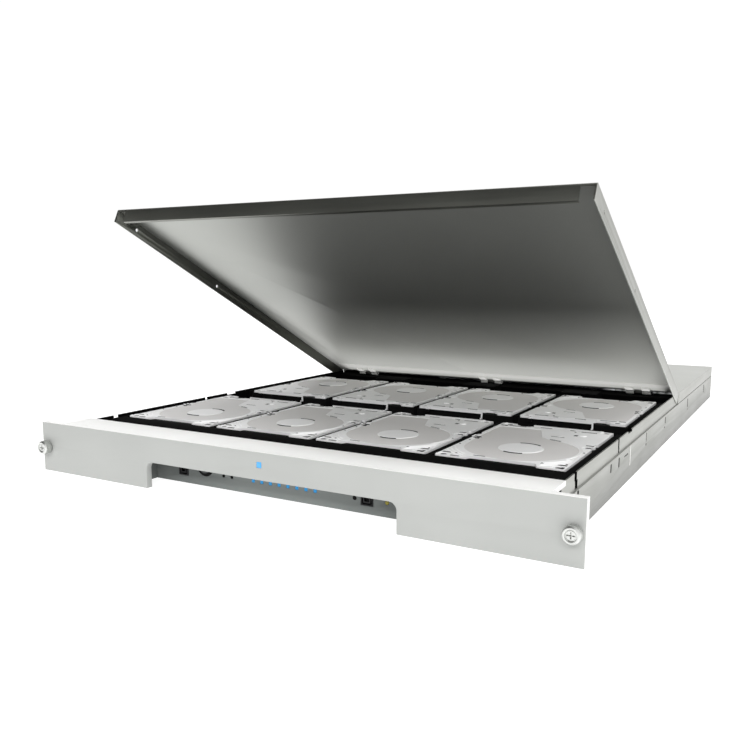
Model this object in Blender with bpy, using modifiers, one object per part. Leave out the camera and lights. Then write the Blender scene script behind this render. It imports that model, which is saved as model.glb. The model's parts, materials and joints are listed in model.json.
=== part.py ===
"""Eight-bay rack storage enclosure, one rack unit high.

Sizes are in millimetres and the helpers turn them into metres. X runs to the right seen from the
front, Y towards the back and Z up. Depths are counted from the front face of the rack plate; the
finished model's origin is on the underside of the chassis at mid depth.
"""

import math

import bmesh
import bpy
from mathutils import Matrix, Vector

MM = 0.001

# Rack plate and chassis
RACK_WIDTH = 482.6
TOP = 43.6
PLATE_THICK = 6.0
DEPTH = 762.0
BODY_WIDTH = 438.0
CHASSIS_FRONT = 6.0
SHEET = 1.2
LEDGE_Z = 30.4
BAND_INSET = 1.6
WALL_TOP = 42.3
GAP = 0.3

# Folded covers: hood, lid and rear cover share one section
COVER_WIDTH = 437.6
COVER_SHEET = 1.0
FLANGE_Z = 30.7
HOOD_BACK = 34.5
HOOD_FLANGE_Z = 39.8
TRIM_HALF = 215.0
LID_FRONT = 35.0
LID_BACK = 471.2
LID_RIM = 2.4
LID_TAB_HALF = 208.0
REAR_COVER_FRONT = 474.6

# Lid hinge
HINGE_Y = 471.6
HINGE_Z = 41.1
LID_OPEN = math.radians(25.67)
HINGE_PITCH = 176.0
KNUCKLE_RADIUS = 2.4
KNUCKLE_BORE = 1.5
PIN_RADIUS = 1.2
LEAF_HALF = 13.3
KNUCKLE_HALF = 4.3
KNUCKLE_GAP = 0.4

# Plate cut-out and the recessed panel behind it
CUTOUT_WIDTH = 230.4
CUTOUT_HEIGHT = 22.2
CUTOUT_RADIUS = 6.0
PANEL_Y = 29.0
PANEL_HALF = 133.7
PORT_SIZE = 10.2
PORT_Z = 11.8
LEFT_PORT_X = -101.8
RIGHT_PORT_X = 75.7
POWER_X = -78.0
POWER_Z = 17.0
POWER_RADIUS = 8.3
SMALL_BUTTON_X = (-58.6, -50.2)
SMALL_RADIUS = 1.2
ROW_Z = 11.3
LIGHT_COUNT = 8
LIGHT_PITCH = 8.4
LIGHT_CENTRE = 1.0
LIGHT_SIZE = 2.4
FAULT_X = 92.3
FAULT_RADIUS = 1.5
STATUS_Z = 33.7
STATUS_SIZE = 4.0
FRONT_BOARD_Y = 36.0

# Rack thumbscrews
SCREW_X = 234.4
SCREW_Z = 21.8
SCREW_HOLE = 3.2

# Drives: two rows of four
DRIVE_WIDTH = 101.6
DRIVE_LENGTH = 147.0
DRIVE_BOTTOM = 14.9
DRIVE_SHOULDER = 37.5
DRIVE_TOP = 41.0
TOP_INSET_X = 1.9
TOP_INSET_PLAIN = 3.5
TOP_INSET_LATCH = 6.5
ROW_FRONTS = (71.3, 261.6)
ROW_SHIFT = -1.1
MIDDLE_PITCH = 104.7
OUTER_PITCH = 106.8
FRAME_HALF = 215.9
FRAME_TOP = 40.0
FRAME_FLOOR = 3.0
MIDDLE_GAP = (219.2, 260.7)
LATCH_Z = (38.9, 40.7)
LATCH_PIVOT_X = -38.0
LATCH_END_X = 21.0
LATCH_Y = -1.7
LATCH_THICK = 1.4

# Fans, electronics and power supplies
FAN_SIZE = 40.0
FAN_Y = (424.0, 452.0)
FAN_PITCH = 120.0
FAN_BORE = 18.6
FAN_Z = 21.5
BULKHEAD_Y = 453.5
BACKPLANE_Y = (237.5, 239.1)
SUPPLY_WIDTH = 54.5
SUPPLY_X = {"left": -186.0, "right": -129.4}
SUPPLY_Y = (540.0, 761.0)
SUPPLY_Z = (1.8, 41.6)
REAR_PANEL_Y = (760.5, 761.7)

WHITE = (0.80, 0.80, 0.77)
SILVER = (0.70, 0.70, 0.70)
STEEL = (0.50, 0.51, 0.52)
DARK = (0.03, 0.03, 0.03)
BOARD = (0.02, 0.13, 0.06)
BLUE = (0.10, 0.45, 1.00)
AMBER = (0.90, 0.60, 0.05)


def clear_scene():
    for old in list(bpy.data.objects):
        bpy.data.objects.remove(old, do_unlink=True)


def new_collection(name):
    collection = bpy.data.collections.new(name)
    bpy.context.scene.collection.children.link(collection)
    return collection


def point(x, y, z):
    return Vector((x, y - DEPTH / 2, z)) * MM


def add_block(shape, x, y, z):
    """Adds a box, given as (low, high) along each axis, and returns its corners."""
    low = point(x[0], y[0], z[0])
    high = point(x[1], y[1], z[1])
    placing = Matrix.Translation((low + high) / 2) @ Matrix.Diagonal((*(high - low), 1.0))
    return bmesh.ops.create_cube(shape, size=1.0, matrix=placing)["verts"]


def add_cylinder(shape, centre, axis, radius, length, segments=24):
    turn = {
        "X": Matrix.Rotation(math.pi / 2, 4, "Y"),
        "Y": Matrix.Rotation(math.pi / 2, 4, "X"),
        "Z": Matrix.Identity(4),
    }[axis]
    bmesh.ops.create_cone(
        shape,
        cap_ends=True,
        segments=segments,
        radius1=radius * MM,
        radius2=radius * MM,
        depth=length * MM,
        matrix=Matrix.Translation(point(*centre)) @ turn,
    )


def make_object(name, shape, origin=(0.0, DEPTH / 2, 0.0)):
    """Turns a bmesh into an object whose origin is at the given point."""
    place = point(*origin)
    mesh = bpy.data.meshes.new(name)
    shape.to_mesh(mesh)
    shape.free()
    mesh.transform(Matrix.Translation(-place))
    mesh.shade_smooth()
    mesh.set_sharp_from_angle(angle=math.radians(32))
    obj = bpy.data.objects.new(name, mesh)
    obj.location = place
    PARTS.objects.link(obj)
    return obj


def blocks(name, *boxes, origin=(0.0, DEPTH / 2, 0.0)):
    shape = bmesh.new()
    for x, y, z in boxes:
        add_block(shape, x, y, z)
    return make_object(name, shape, origin)


def cylinders(name, centres, axis, radius, length, segments=24):
    shape = bmesh.new()
    for centre in centres:
        add_cylinder(shape, centre, axis, radius, length, segments)
    return make_object(name, shape)


def combine(target, tool, operation):
    """Keeps the tool as a hidden wire guide that follows its target."""
    PARTS.objects.unlink(tool)
    CUTTERS.objects.link(tool)
    tool.hide_render = True
    tool.display_type = "WIRE"
    tool.parent = target
    tool.matrix_parent_inverse = Matrix.Translation(-target.location)
    modifier = target.modifiers.new(tool.name, "BOOLEAN")
    modifier.operation = operation
    modifier.solver = "EXACT"
    modifier.object = tool


def cut(target, tool):
    combine(target, tool, "DIFFERENCE")


def join(target, tool):
    combine(target, tool, "UNION")


def turned(name, profile, origin, steps):
    """Turns a profile of (radius, height) about a line that points to the front, top end first."""
    mesh = bpy.data.meshes.new(name)
    corners = [(radius * MM, 0.0, height * MM) for radius, height in profile]
    mesh.from_pydata(corners, [(i, i + 1) for i in range(len(corners) - 1)], [])
    obj = bpy.data.objects.new(name, mesh)
    obj.location = point(*origin)
    obj.rotation_euler = (math.pi / 2, 0.0, 0.0)
    PARTS.objects.link(obj)
    screw = obj.modifiers.new("turning", "SCREW")
    screw.axis = "Z"
    screw.steps = steps
    screw.render_steps = steps
    screw.use_merge_vertices = True
    screw.merge_threshold = 0.00001
    screw.use_smooth_shade = False
    return obj


def finish(obj, colour, roughness, metallic):
    paint = bpy.data.materials.new(obj.name)
    paint.use_nodes = True
    shader = paint.node_tree.nodes["Principled BSDF"]
    shader.inputs["Base Color"].default_value = (*colour, 1.0)
    shader.inputs["Roughness"].default_value = roughness
    shader.inputs["Metallic"].default_value = metallic
    obj.data.materials.clear()
    obj.data.materials.append(paint)
    return obj


def both_sides(x, y, z):
    """The box and its mirror image across the middle plane."""
    return ((x[0], x[1]), y, z), ((-x[1], -x[0]), y, z)


def column_centres():
    near = MIDDLE_PITCH / 2
    far = near + OUTER_PITCH
    return [ROW_SHIFT + x for x in (-far, -near, near, far)]


def light_positions():
    first = LIGHT_CENTRE - LIGHT_PITCH * (LIGHT_COUNT - 1) / 2
    return [first + LIGHT_PITCH * i for i in range(LIGHT_COUNT)]


def chassis_tray():
    """Floor and side walls; the walls step in above the ledge, where the covers' flanges lie."""
    half = BODY_WIDTH / 2
    band = half - BAND_INSET
    run = (CHASSIS_FRONT, DEPTH)
    past = (0.0, DEPTH + 10)
    tray = blocks("chassis_tray", ((-half, half), run, (0.0, LEDGE_Z)))
    join(tray, blocks("tray_band", ((-band, band), run, (LEDGE_Z - 1, WALL_TOP))))
    inner = half - SHEET
    cut(tray, blocks("tray_hollow", ((-inner, inner), past, (SHEET, LEDGE_Z - SHEET))))
    inner = band - SHEET
    cut(tray, blocks("tray_mouth", ((-inner, inner), past, (LEDGE_Z - SHEET - 1, TOP + 10))))
    recess = PANEL_HALF + 0.5
    cut(tray, blocks("floor_notch", ((-recess, recess), (0.0, PANEL_Y + 1.6), (-5.0, SHEET + 1))))

    across = (band - SHEET - 1, band + 1)
    above = LEDGE_Z + 0.1
    notches = []
    for y, z in (
        ((12.0, 29.5), (37.0, TOP)),
        ((34.0, 37.0), (40.7, TOP)),
        ((59.5, 65.5), (36.8, TOP)),
        ((61.5, 67.5), (above, 36.9)),
        ((187.0, 190.0), (35.0, TOP)),
        ((188.5, 191.5), (above, 35.1)),
        ((223.5, 238.5), (40.2, TOP)),
        ((470.4, 475.6), (39.4, TOP)),
    ):
        notches += both_sides(across, y, z)
    for i, notch in enumerate(notches):
        cut(tray, blocks(f"band_notch_{i}", notch))

    through = (half - SHEET - 1, half + 1)
    slots = []
    for y, z in (
        (158.3, (21.6, 27.8)),
        (185.7, (20.0, 27.4)),
        (296.0, (22.0, 28.0)),
        (394.0, (22.0, 28.0)),
        (544.0, (17.0, 27.0)),
        (682.0, (17.0, 27.0)),
    ):
        slots += both_sides(through, (y - 1.0, y + 1.0), z)
    cut(tray, blocks("side_slots", *slots))
    return finish(tray, WHITE, 0.45, 0.3)


def front_bezel():
    half = RACK_WIDTH / 2
    plate = blocks("front_bezel", ((-half, half), (0.0, PLATE_THICK), (0.0, TOP)))
    middle = BODY_WIDTH / 2 + 0.5
    relief = ((-middle, middle), (PLATE_THICK - 0.4, PLATE_THICK + 5), (-5.0, TOP + 5))
    cut(plate, blocks("bezel_relief", relief))

    shape = bmesh.new()
    reach = CUTOUT_WIDTH / 2
    add_block(shape, (-reach, reach), (-5.0, PLATE_THICK + 5), (-20.0, CUTOUT_HEIGHT))
    upper = point(0, 0, 0).z
    edges = [
        edge
        for edge in shape.edges
        if all(v.co.z > upper for v in edge.verts)
        and abs(edge.verts[0].co.x - edge.verts[1].co.x) < MM
    ]
    bmesh.ops.bevel(
        shape,
        geom=edges,
        offset=CUTOUT_RADIUS * MM,
        segments=6,
        profile=0.5,
        affect="EDGES",
    )
    cut(plate, make_object("bezel_cutout", shape))

    hole = STATUS_SIZE / 2 + GAP
    window = ((-hole, hole), (-5.0, PLATE_THICK + 5), (STATUS_Z - hole, STATUS_Z + hole))
    cut(plate, blocks("status_window", window))
    centres = [(side * SCREW_X, PLATE_THICK / 2, SCREW_Z) for side in (-1, 1)]
    cut(plate, cylinders("ear_holes", centres, "Y", SCREW_HOLE, 30.0))
    return finish(plate, WHITE, 0.4, 0.3)


def front_hood():
    """Fixed strip of cover between the rack plate and the lid."""
    half = COVER_WIDTH / 2
    front = CHASSIS_FRONT
    hood = blocks("front_hood", ((-half, half), (front, HOOD_BACK), (HOOD_FLANGE_Z, TOP)))
    inner = half - COVER_SHEET
    under = ((-inner, inner), (0.0, HOOD_BACK + 5), (0.0, TOP - COVER_SHEET))
    cut(hood, blocks("hood_hollow", under))
    trim = ((-TRIM_HALF, TRIM_HALF), (HOOD_BACK - COVER_SHEET, HOOD_BACK), (38.6, TOP - 0.5))
    join(hood, blocks("hood_rear_trim", trim))
    return finish(hood, (0.88, 0.88, 0.86), 0.4, 0.3)


def io_panel():
    half = PANEL_HALF
    deep = (PANEL_Y, PANEL_Y + SHEET)
    tall = (GAP, 41.0)
    panel = blocks("io_panel", ((-half, half), (CHASSIS_FRONT + GAP, deep[1]), tall))
    inner = half - SHEET
    cut(panel, blocks("panel_hollow", ((-inner, inner), (0.0, PANEL_Y), (-5.0, TOP + 5))))
    through = (PANEL_Y - 2, PANEL_Y + 5)
    side = PORT_SIZE / 2 + GAP
    openings = []
    for x in (LEFT_PORT_X, RIGHT_PORT_X):
        openings.append(((x - side, x + side), through, (PORT_Z - side, PORT_Z + side)))
    peg = LIGHT_SIZE / 2 + GAP
    for x in light_positions():
        openings.append(((x - peg, x + peg), through, (ROW_Z - peg, ROW_Z + peg)))
    cut(panel, blocks("panel_openings", *openings))
    hole = (POWER_X, PANEL_Y, POWER_Z)
    cut(panel, cylinders("power_hole", [hole], "Y", POWER_RADIUS + GAP, 12.0, 32))
    holes = [(x, PANEL_Y, ROW_Z) for x in SMALL_BUTTON_X]
    cut(panel, cylinders("button_holes", holes, "Y", SMALL_RADIUS + GAP, 12.0, 12))
    hole = (FAULT_X, PANEL_Y, ROW_Z)
    cut(panel, cylinders("fault_hole", [hole], "Y", FAULT_RADIUS + GAP, 12.0, 12))
    return finish(panel, (0.30, 0.31, 0.31), 0.5, 0.3)


def port(name, x):
    half = PORT_SIZE / 2
    body = ((x - half, x + half), (PANEL_Y - 0.4, FRONT_BOARD_Y - GAP), (PORT_Z - half, PORT_Z + half))
    socket = blocks(name, body)
    inner = half - 1.0
    mouth = ((x - inner, x + inner), (PANEL_Y - 5, PANEL_Y + 5), (PORT_Z - inner, PORT_Z + inner))
    cut(socket, blocks(name + "_mouth", mouth))
    return finish(socket, DARK, 0.5, 0.0)


def front_board():
    board = blocks("front_board", ((-125.0, 125.0), (FRONT_BOARD_Y, FRONT_BOARD_Y + 1.6), (3.0, 29.0)))
    return finish(board, BOARD, 0.5, 0.0)


def power_button():
    r = POWER_RADIUS
    profile = [(0, 1.2), (r - 0.7, 1.2), (r, 0.6), (r, -1.5), (r + 1.1, -1.5)]
    profile += [(r + 1.1, -2.5), (3.0, -2.5), (3.0, -5.0), (0, -5.0)]
    button = turned("power_button", profile, (POWER_X, PANEL_Y, POWER_Z), 28)
    return finish(button, DARK, 0.4, 0.0)


def small_button(name, x):
    r = SMALL_RADIUS
    profile = [(0, 0.3), (r, 0.3), (r, -1.5), (r + 1.0, -1.5)]
    profile += [(r + 1.0, -2.3), (0.9, -2.3), (0.9, -5.0), (0, -5.0)]
    button = turned(name, profile, (x, PANEL_Y, ROW_Z), 12)
    return finish(button, DARK, 0.4, 0.0)


def activity_lights():
    """Light pipe: one bar behind the panel with a square peg through each window."""
    places = light_positions()
    low = (ROW_Z - 2.0, ROW_Z + 2.0)
    bar = ((places[0] - 3.0, places[-1] + 3.0), (PANEL_Y + 2.0, PANEL_Y + 5.0), low)
    pipe = blocks("activity_lights", bar)
    peg = LIGHT_SIZE / 2
    pegs = [
        ((x - peg, x + peg), (PANEL_Y - 0.2, PANEL_Y + 2.5), (ROW_Z - peg, ROW_Z + peg))
        for x in places
    ]
    join(pipe, blocks("light_pegs", *pegs))
    return finish(pipe, BLUE, 0.3, 0.0)


def fault_light():
    centre = (FAULT_X, PANEL_Y + 2.0, ROW_Z)
    lamp = cylinders("fault_light", [centre], "Y", FAULT_RADIUS, 4.6, 12)
    return finish(lamp, AMBER, 0.3, 0.0)


def status_light():
    half = STATUS_SIZE / 2
    lamp = blocks("status_light", ((-half, half), (-0.1, 5.2), (STATUS_Z - half, STATUS_Z + half)))
    return finish(lamp, BLUE, 0.3, 0.0)


def thumbscrew(name, x):
    profile = [(0, 6.8), (3.4, 6.8), (3.9, 8.0), (4.9, 8.0), (5.8, 6.9), (5.8, 1.5), (5.2, 0.9)]
    profile += [(4.3, 0.9), (4.3, GAP), (2.5, GAP), (2.5, -14.0), (1.7, -15.0), (0, -15.0)]
    screw = turned(name, profile, (x, 0.0, SCREW_Z), 20)
    return finish(screw, STEEL, 0.3, 0.9)


def lid():
    """Folded lid with three knuckle pairs, made closed and then turned about the hinge line."""
    half = COVER_WIDTH / 2
    inner = half - COVER_SHEET
    whole = ((-half, half), (LID_FRONT, LID_BACK), (FLANGE_Z, TOP))
    cover = blocks("lid", whole, origin=(0.0, HINGE_Y, HINGE_Z))
    inside = ((-inner, inner), (LID_FRONT + COVER_SHEET, LID_BACK + 10), (0.0, TOP - COVER_SHEET))
    cut(cover, blocks("lid_hollow", inside))
    corner = ((LID_TAB_HALF, inner - 0.1), (LID_FRONT - 1, LID_FRONT + 2), (0.0, TOP - LID_RIM))
    cut(cover, blocks("lid_corners", *both_sides(*corner)))
    across = (-LID_TAB_HALF, LID_TAB_HALF)
    lip = (across, (LID_FRONT + 0.5, LID_FRONT + 3.0), (FLANGE_Z, FLANGE_Z + COVER_SHEET))
    join(cover, blocks("lid_lip", lip))

    clear = KNUCKLE_HALF + KNUCKLE_GAP
    notches = []
    bores = []
    for x in (-HINGE_PITCH, 0.0, HINGE_PITCH):
        for low, high in ((x - LEAF_HALF, x - clear), (x + clear, x + LEAF_HALF)):
            leaf = bmesh.new()
            add_block(leaf, (low, high), (458.0, HINGE_Y), (HINGE_Z, TOP - COVER_SHEET + 0.1))
            join(cover, make_object("lid_leaf", leaf))
            knuckle = [((low + high) / 2, HINGE_Y, HINGE_Z)]
            join(cover, cylinders("lid_knuckle", knuckle, "X", KNUCKLE_RADIUS, high - low, 16))
        notches.append(((x - clear, x + clear), (468.4, 480.0), (35.0, TOP + 5)))
        bores.append((x, HINGE_Y, HINGE_Z))
    cut(cover, blocks("lid_notches", *notches))
    cut(cover, cylinders("lid_bores", bores, "X", KNUCKLE_BORE, 2 * LEAF_HALF + 2, 12))

    holes = []
    for y in (62.0, 187.0):
        holes += [(side * half, y, 36.5) for side in (-1, 1)]
    cut(cover, cylinders("lid_holes", holes, "X", 1.6, 8.0, 12))
    cover.rotation_euler = (-LID_OPEN, 0.0, 0.0)
    return finish(cover, (0.62, 0.62, 0.60), 0.3, 0.9)


def hinge_leaf(name, x):
    """Fixed leaf with the middle knuckle."""
    leaf = blocks(name, ((x - LEAF_HALF, x + LEAF_HALF), (475.0, 488.0), (38.9, 40.2)))
    arm = ((x - KNUCKLE_HALF, x + KNUCKLE_HALF), (HINGE_Y, 476.0), (38.9, 40.2))
    join(leaf, blocks(name + "_arm", arm))
    centre = (x, HINGE_Y, HINGE_Z)
    knuckle = cylinders(name + "_knuckle", [centre], "X", KNUCKLE_RADIUS, 2 * KNUCKLE_HALF, 16)
    join(leaf, knuckle)
    cut(leaf, cylinders(name + "_bore", [centre], "X", KNUCKLE_BORE, 30.0, 12))
    return finish(leaf, STEEL, 0.4, 0.9)


def hinge_pin(name, x):
    pin = cylinders(name, [(x, HINGE_Y, HINGE_Z)], "X", PIN_RADIUS, 2 * LEAF_HALF, 12)
    return finish(pin, STEEL, 0.25, 0.9)


def rear_cover():
    half = COVER_WIDTH / 2
    inner = half - COVER_SHEET
    cover = blocks("rear_cover", ((-half, half), (REAR_COVER_FRONT, DEPTH), (FLANGE_Z, TOP)))
    inside = ((-inner, inner), (400.0, DEPTH + 10), (0.0, TOP - COVER_SHEET))
    cut(cover, blocks("cover_hollow", inside))
    slots = both_sides((half - 3, half + 3), (478.2, 479.8), (36.0, 41.2))
    cut(cover, blocks("cover_slots", *slots))
    return finish(cover, WHITE, 0.45, 0.3)


def rear_panel():
    panel = blocks("rear_panel", ((-FRAME_HALF, FRAME_HALF), REAR_PANEL_Y, (SHEET + GAP, WALL_TOP)))
    through = (REAR_PANEL_Y[0] - 5, REAR_PANEL_Y[1] + 5)
    low = SUPPLY_X["left"] - SUPPLY_WIDTH / 2 - 0.4
    high = SUPPLY_X["right"] + SUPPLY_WIDTH / 2 + 0.4
    openings = [((low, high), through, (SUPPLY_Z[0] - 0.2, SUPPLY_Z[1] + 0.3))]
    openings.append(((-80.0, 30.0), through, (8.0, 24.0)))
    for i in range(12):
        x = 50.0 + 12.5 * i
        openings.append(((x, x + 7.5), through, (8.0, 36.0)))
    cut(panel, blocks("rear_openings", *openings))
    return finish(panel, WHITE, 0.45, 0.3)


def mid_backplane():
    board = blocks("mid_backplane", ((-205.0, 205.0), BACKPLANE_Y, (4.0, 32.0)))
    sockets = []
    for x in column_centres():
        back = ROW_FRONTS[0] + DRIVE_LENGTH + 0.6
        sockets.append(((x - 45.0, x - 3.0), (back, BACKPLANE_Y[0] + 0.1), (17.0, 25.0)))
        front = ROW_FRONTS[1] - 0.6
        sockets.append(((x + 3.0, x + 45.0), (BACKPLANE_Y[1] - 0.1, front), (17.0, 25.0)))
    join(board, blocks("backplane_sockets", *sockets))
    return finish(board, DARK, 0.5, 0.0)


def bay_frame(name, run, pocket):
    """Comb of webs with ledges that carry one row of drives; the webs stop at the middle gap."""
    frame = blocks(name, ((-FRAME_HALF, FRAME_HALF), run, (SHEET + GAP, FRAME_TOP)))
    half = DRIVE_WIDTH / 2 + GAP
    ledge = DRIVE_BOTTOM - GAP
    upper = [((x - half, x + half), pocket, (ledge, TOP + 5)) for x in column_centres()]
    lower = [((x - 46.0, x + 46.0), pocket, (FRAME_FLOOR, ledge + 0.1)) for x in column_centres()]
    cut(frame, blocks(name + "_pockets", *upper))
    cut(frame, blocks(name + "_wells", *lower))
    past = FRAME_HALF + 5
    cut(frame, blocks(name + "_gap", ((-past, past), MIDDLE_GAP, (FRAME_FLOOR, TOP + 5))))
    return frame


def bay_frame_front():
    frame = bay_frame("bay_frame_front", (47.5, 236.0), (70.8, 240.0))
    inside = ((-213.0, 213.0), (49.0, 69.4), (-5.0, FRAME_TOP - 1.5))
    cut(frame, blocks("front_deck_hollow", inside))
    return finish(frame, DARK, 0.6, 0.0)


def bay_frame_rear():
    frame = bay_frame("bay_frame_rear", (243.0, 411.0), (238.0, 409.0))
    return finish(frame, DARK, 0.6, 0.0)


def bay(x, front):
    """Centre of a bay and the way its drive faces: latch to the front in the rear row, +1."""
    return x, front + DRIVE_LENGTH / 2, -1 if front == ROW_FRONTS[0] else 1


def in_bay(place, u, v):
    """Ranges along X and Y for ranges measured from the drive's centre, latch end at the low v."""
    x, y, facing = place
    across = sorted((x + facing * u[0], x + facing * u[1]))
    along = sorted((y + facing * v[0], y + facing * v[1]))
    return across, along


def drive(number, place):
    """Drive in its carrier, with the small bracket and pin that the latch bar turns on."""
    name = f"drive_{number}"
    half = DRIVE_WIDTH / 2
    end = DRIVE_LENGTH / 2
    whole = in_bay(place, (-half, half), (-end, end))
    body = blocks(name, (*whole, (DRIVE_BOTTOM, DRIVE_SHOULDER)))
    top = half - TOP_INSET_X
    cap = in_bay(place, (-top, top), (-end + TOP_INSET_LATCH, end - TOP_INSET_PLAIN))
    join(body, blocks(name + "_cap", (*cap, (DRIVE_SHOULDER - 0.5, DRIVE_TOP))))
    u = (LATCH_PIVOT_X - 2.2, LATCH_PIVOT_X + 2.2)
    bracket = in_bay(place, u, (-end + LATCH_Y - 2.2, -end + 0.5))
    join(body, blocks(name + "_bracket", (*bracket, (36.0, LATCH_Z[0] - GAP))))
    pin = in_bay(place, (LATCH_PIVOT_X,) * 2, (-end + LATCH_Y,) * 2)
    middle = (pin[0][0], pin[1][0], LATCH_Z[0] + 0.3)
    join(body, cylinders(name + "_pin", [middle], "Z", 1.0, 2.6, 10))
    return finish(body, SILVER, 0.35, 0.7)


def drive_latch(number, place):
    """Bar along the drive's latch end, with an eye at its pivot and a hook at its free end."""
    name = f"drive_latch_{number}"
    face = -DRIVE_LENGTH / 2 + LATCH_Y
    pivot = in_bay(place, (LATCH_PIVOT_X,) * 2, (face,) * 2)
    centre = (pivot[0][0], pivot[1][0], sum(LATCH_Z) / 2)
    shape = bmesh.new()
    add_cylinder(shape, centre, "Z", 1.9, LATCH_Z[1] - LATCH_Z[0], 14)
    bar = make_object(name, shape, origin=centre)
    thick = (face - LATCH_THICK / 2, face + LATCH_THICK / 2)
    length = in_bay(place, (LATCH_PIVOT_X, LATCH_END_X), thick)
    join(bar, blocks(name + "_bar", (*length, LATCH_Z)))
    end = (LATCH_END_X - 1.4, LATCH_END_X)
    hook = in_bay(place, end, thick)
    join(bar, blocks(name + "_hook", (*hook, (34.0, LATCH_Z[0] + 0.1))))
    tip = in_bay(place, end, (face - 3.2, thick[0] + 0.1))
    join(bar, blocks(name + "_tip", (*tip, (34.0, 35.2))))
    cut(bar, cylinders(name + "_eye", [centre], "Z", 1.0 + GAP, 10.0, 10))
    return finish(bar, SILVER, 0.3, 0.9)


def fan_frame(number, x):
    name = f"fan_frame_{number}"
    half = FAN_SIZE / 2
    frame = blocks(name, ((x - half, x + half), FAN_Y, (FAN_Z - half + 0.1, FAN_Z + half - 0.1)))
    centre = (x, sum(FAN_Y) / 2, FAN_Z)
    cut(frame, cylinders(name + "_bore", [centre], "Y", FAN_BORE, 60.0, 32))
    arms = (FAN_Y[1] - 3.0, FAN_Y[1])
    reach = FAN_BORE + 0.6
    join(frame, blocks(name + "_arm_x", ((x - reach, x + reach), arms, (FAN_Z - 1.2, FAN_Z + 1.2))))
    join(frame, blocks(name + "_arm_z", ((x - 1.2, x + 1.2), arms, (FAN_Z - reach, FAN_Z + reach))))
    hub = (x, FAN_Y[1] - 1.5, FAN_Z)
    join(frame, cylinders(name + "_hub", [hub], "Y", 9.0, 3.0, 20))
    return finish(frame, DARK, 0.5, 0.0)


def fan_rotor(number, x):
    name = f"fan_rotor_{number}"
    middle = (x, 436.5, FAN_Z)
    shape = bmesh.new()
    add_cylinder(shape, middle, "Y", 9.5, 23.0, 20)
    rotor = make_object(name, shape, origin=middle)
    blades = bmesh.new()
    count = 5
    for i in range(count):
        corners = add_block(blades, (x + 9.0, x + 16.9), (427.5, 445.5), (FAN_Z - 0.6, FAN_Z + 0.6))
        centre = point(*middle)
        pitch = Matrix.Rotation(math.radians(38), 4, "X")
        turn = Matrix.Rotation(math.tau * i / count, 4, "Y")
        move = Matrix.Translation(centre) @ turn @ pitch @ Matrix.Translation(-centre)
        bmesh.ops.transform(blades, matrix=move, verts=corners)
    join(rotor, make_object(name + "_blades", blades))
    return finish(rotor, DARK, 0.5, 0.0)


def fan_positions():
    return [FAN_PITCH * (i - 1) for i in range(3)]


def fan_bulkhead():
    """Cross wall behind the fans with a shelf that carries the hinge leaves."""
    wall = ((-FRAME_HALF, FRAME_HALF), (BULKHEAD_Y, BULKHEAD_Y + SHEET), (SHEET + GAP, 38.4))
    bulkhead = blocks("fan_bulkhead", wall)
    shelf = ((-FRAME_HALF, FRAME_HALF), (BULKHEAD_Y + 0.5, 490.0), (37.2, 38.4))
    join(bulkhead, blocks("hinge_shelf", shelf))
    centres = [(x, BULKHEAD_Y, FAN_Z) for x in fan_positions()]
    cut(bulkhead, cylinders("bulkhead_holes", centres, "Y", 15.0, 12.0, 24))
    return finish(bulkhead, DARK, 0.6, 0.0)


def controller_board():
    board = blocks("controller_board", ((-92.0, 208.0), (500.0, 745.0), (6.0, 7.6)))
    return finish(board, BOARD, 0.5, 0.0)


def cpu_heatsink():
    sink = blocks("cpu_heatsink", ((40.0, 110.0), (590.0, 660.0), (7.9, 12.0)))
    fins = []
    for i in range(12):
        x = 41.0 + 6.0 * i
        fins.append(((x, x + 1.6), (590.0, 660.0), (11.5, 34.0)))
    join(sink, blocks("heatsink_fins", *fins))
    return finish(sink, SILVER, 0.4, 0.9)


def rear_port_block():
    block = blocks("rear_port_block", ((-79.6, 29.6), (748.0, 761.5), (8.3, 23.7)))
    mouths = [((x, x + 20.0), (752.0, 765.0), (10.0, 22.0)) for x in (-76.0, -50.0, -20.0, 6.0)]
    cut(block, blocks("rear_port_mouths", *mouths))
    return finish(block, STEEL, 0.4, 0.8)


def power_supply(side):
    name = f"power_supply_{side}"
    x = SUPPLY_X[side]
    half = SUPPLY_WIDTH / 2
    unit = blocks(name, ((x - half, x + half), SUPPLY_Y, SUPPLY_Z))
    face = SUPPLY_Y[1]
    inner = half - 1.5
    bare = ((x - inner, x + inner), (SUPPLY_Y[0] - 5, face - 24), (SUPPLY_Z[0] + 1.5, SUPPLY_Z[1] - 1.5))
    cut(unit, blocks(name + "_hollow", bare))
    legs = [((low, low + 3.0), (face - 1, face + 17), (9.0, 13.0)) for low in (x - 22.0, x + 13.0)]
    join(unit, blocks(name + "_legs", *legs))
    grip = ((x - 22.0, x + 16.0), (face + 16, face + 19), (9.0, 13.0))
    join(unit, blocks(name + "_grip", grip))
    inlet = ((x - 21.0, x + 5.0), (face - 14, face + 5), (18.0, 36.0))
    cut(unit, blocks(name + "_inlet", inlet))
    return finish(unit, STEEL, 0.4, 0.9)


def supply_latch(side):
    name = f"supply_latch_{side}"
    x = SUPPLY_X[side] + 20.0
    face = SUPPLY_Y[1] + GAP
    tab = blocks(name, ((x, x + 4.0), (face, face + 1.5), (18.0, 34.0)))
    join(tab, blocks(name + "_thumb", ((x + 1.0, x + 3.0), (face + 1, face + 12), (20.0, 32.0))))
    return finish(tab, (0.05, 0.30, 0.15), 0.5, 0.0)


clear_scene()
PARTS = new_collection("nas_enclosure")
CUTTERS = new_collection("cutters")

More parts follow.
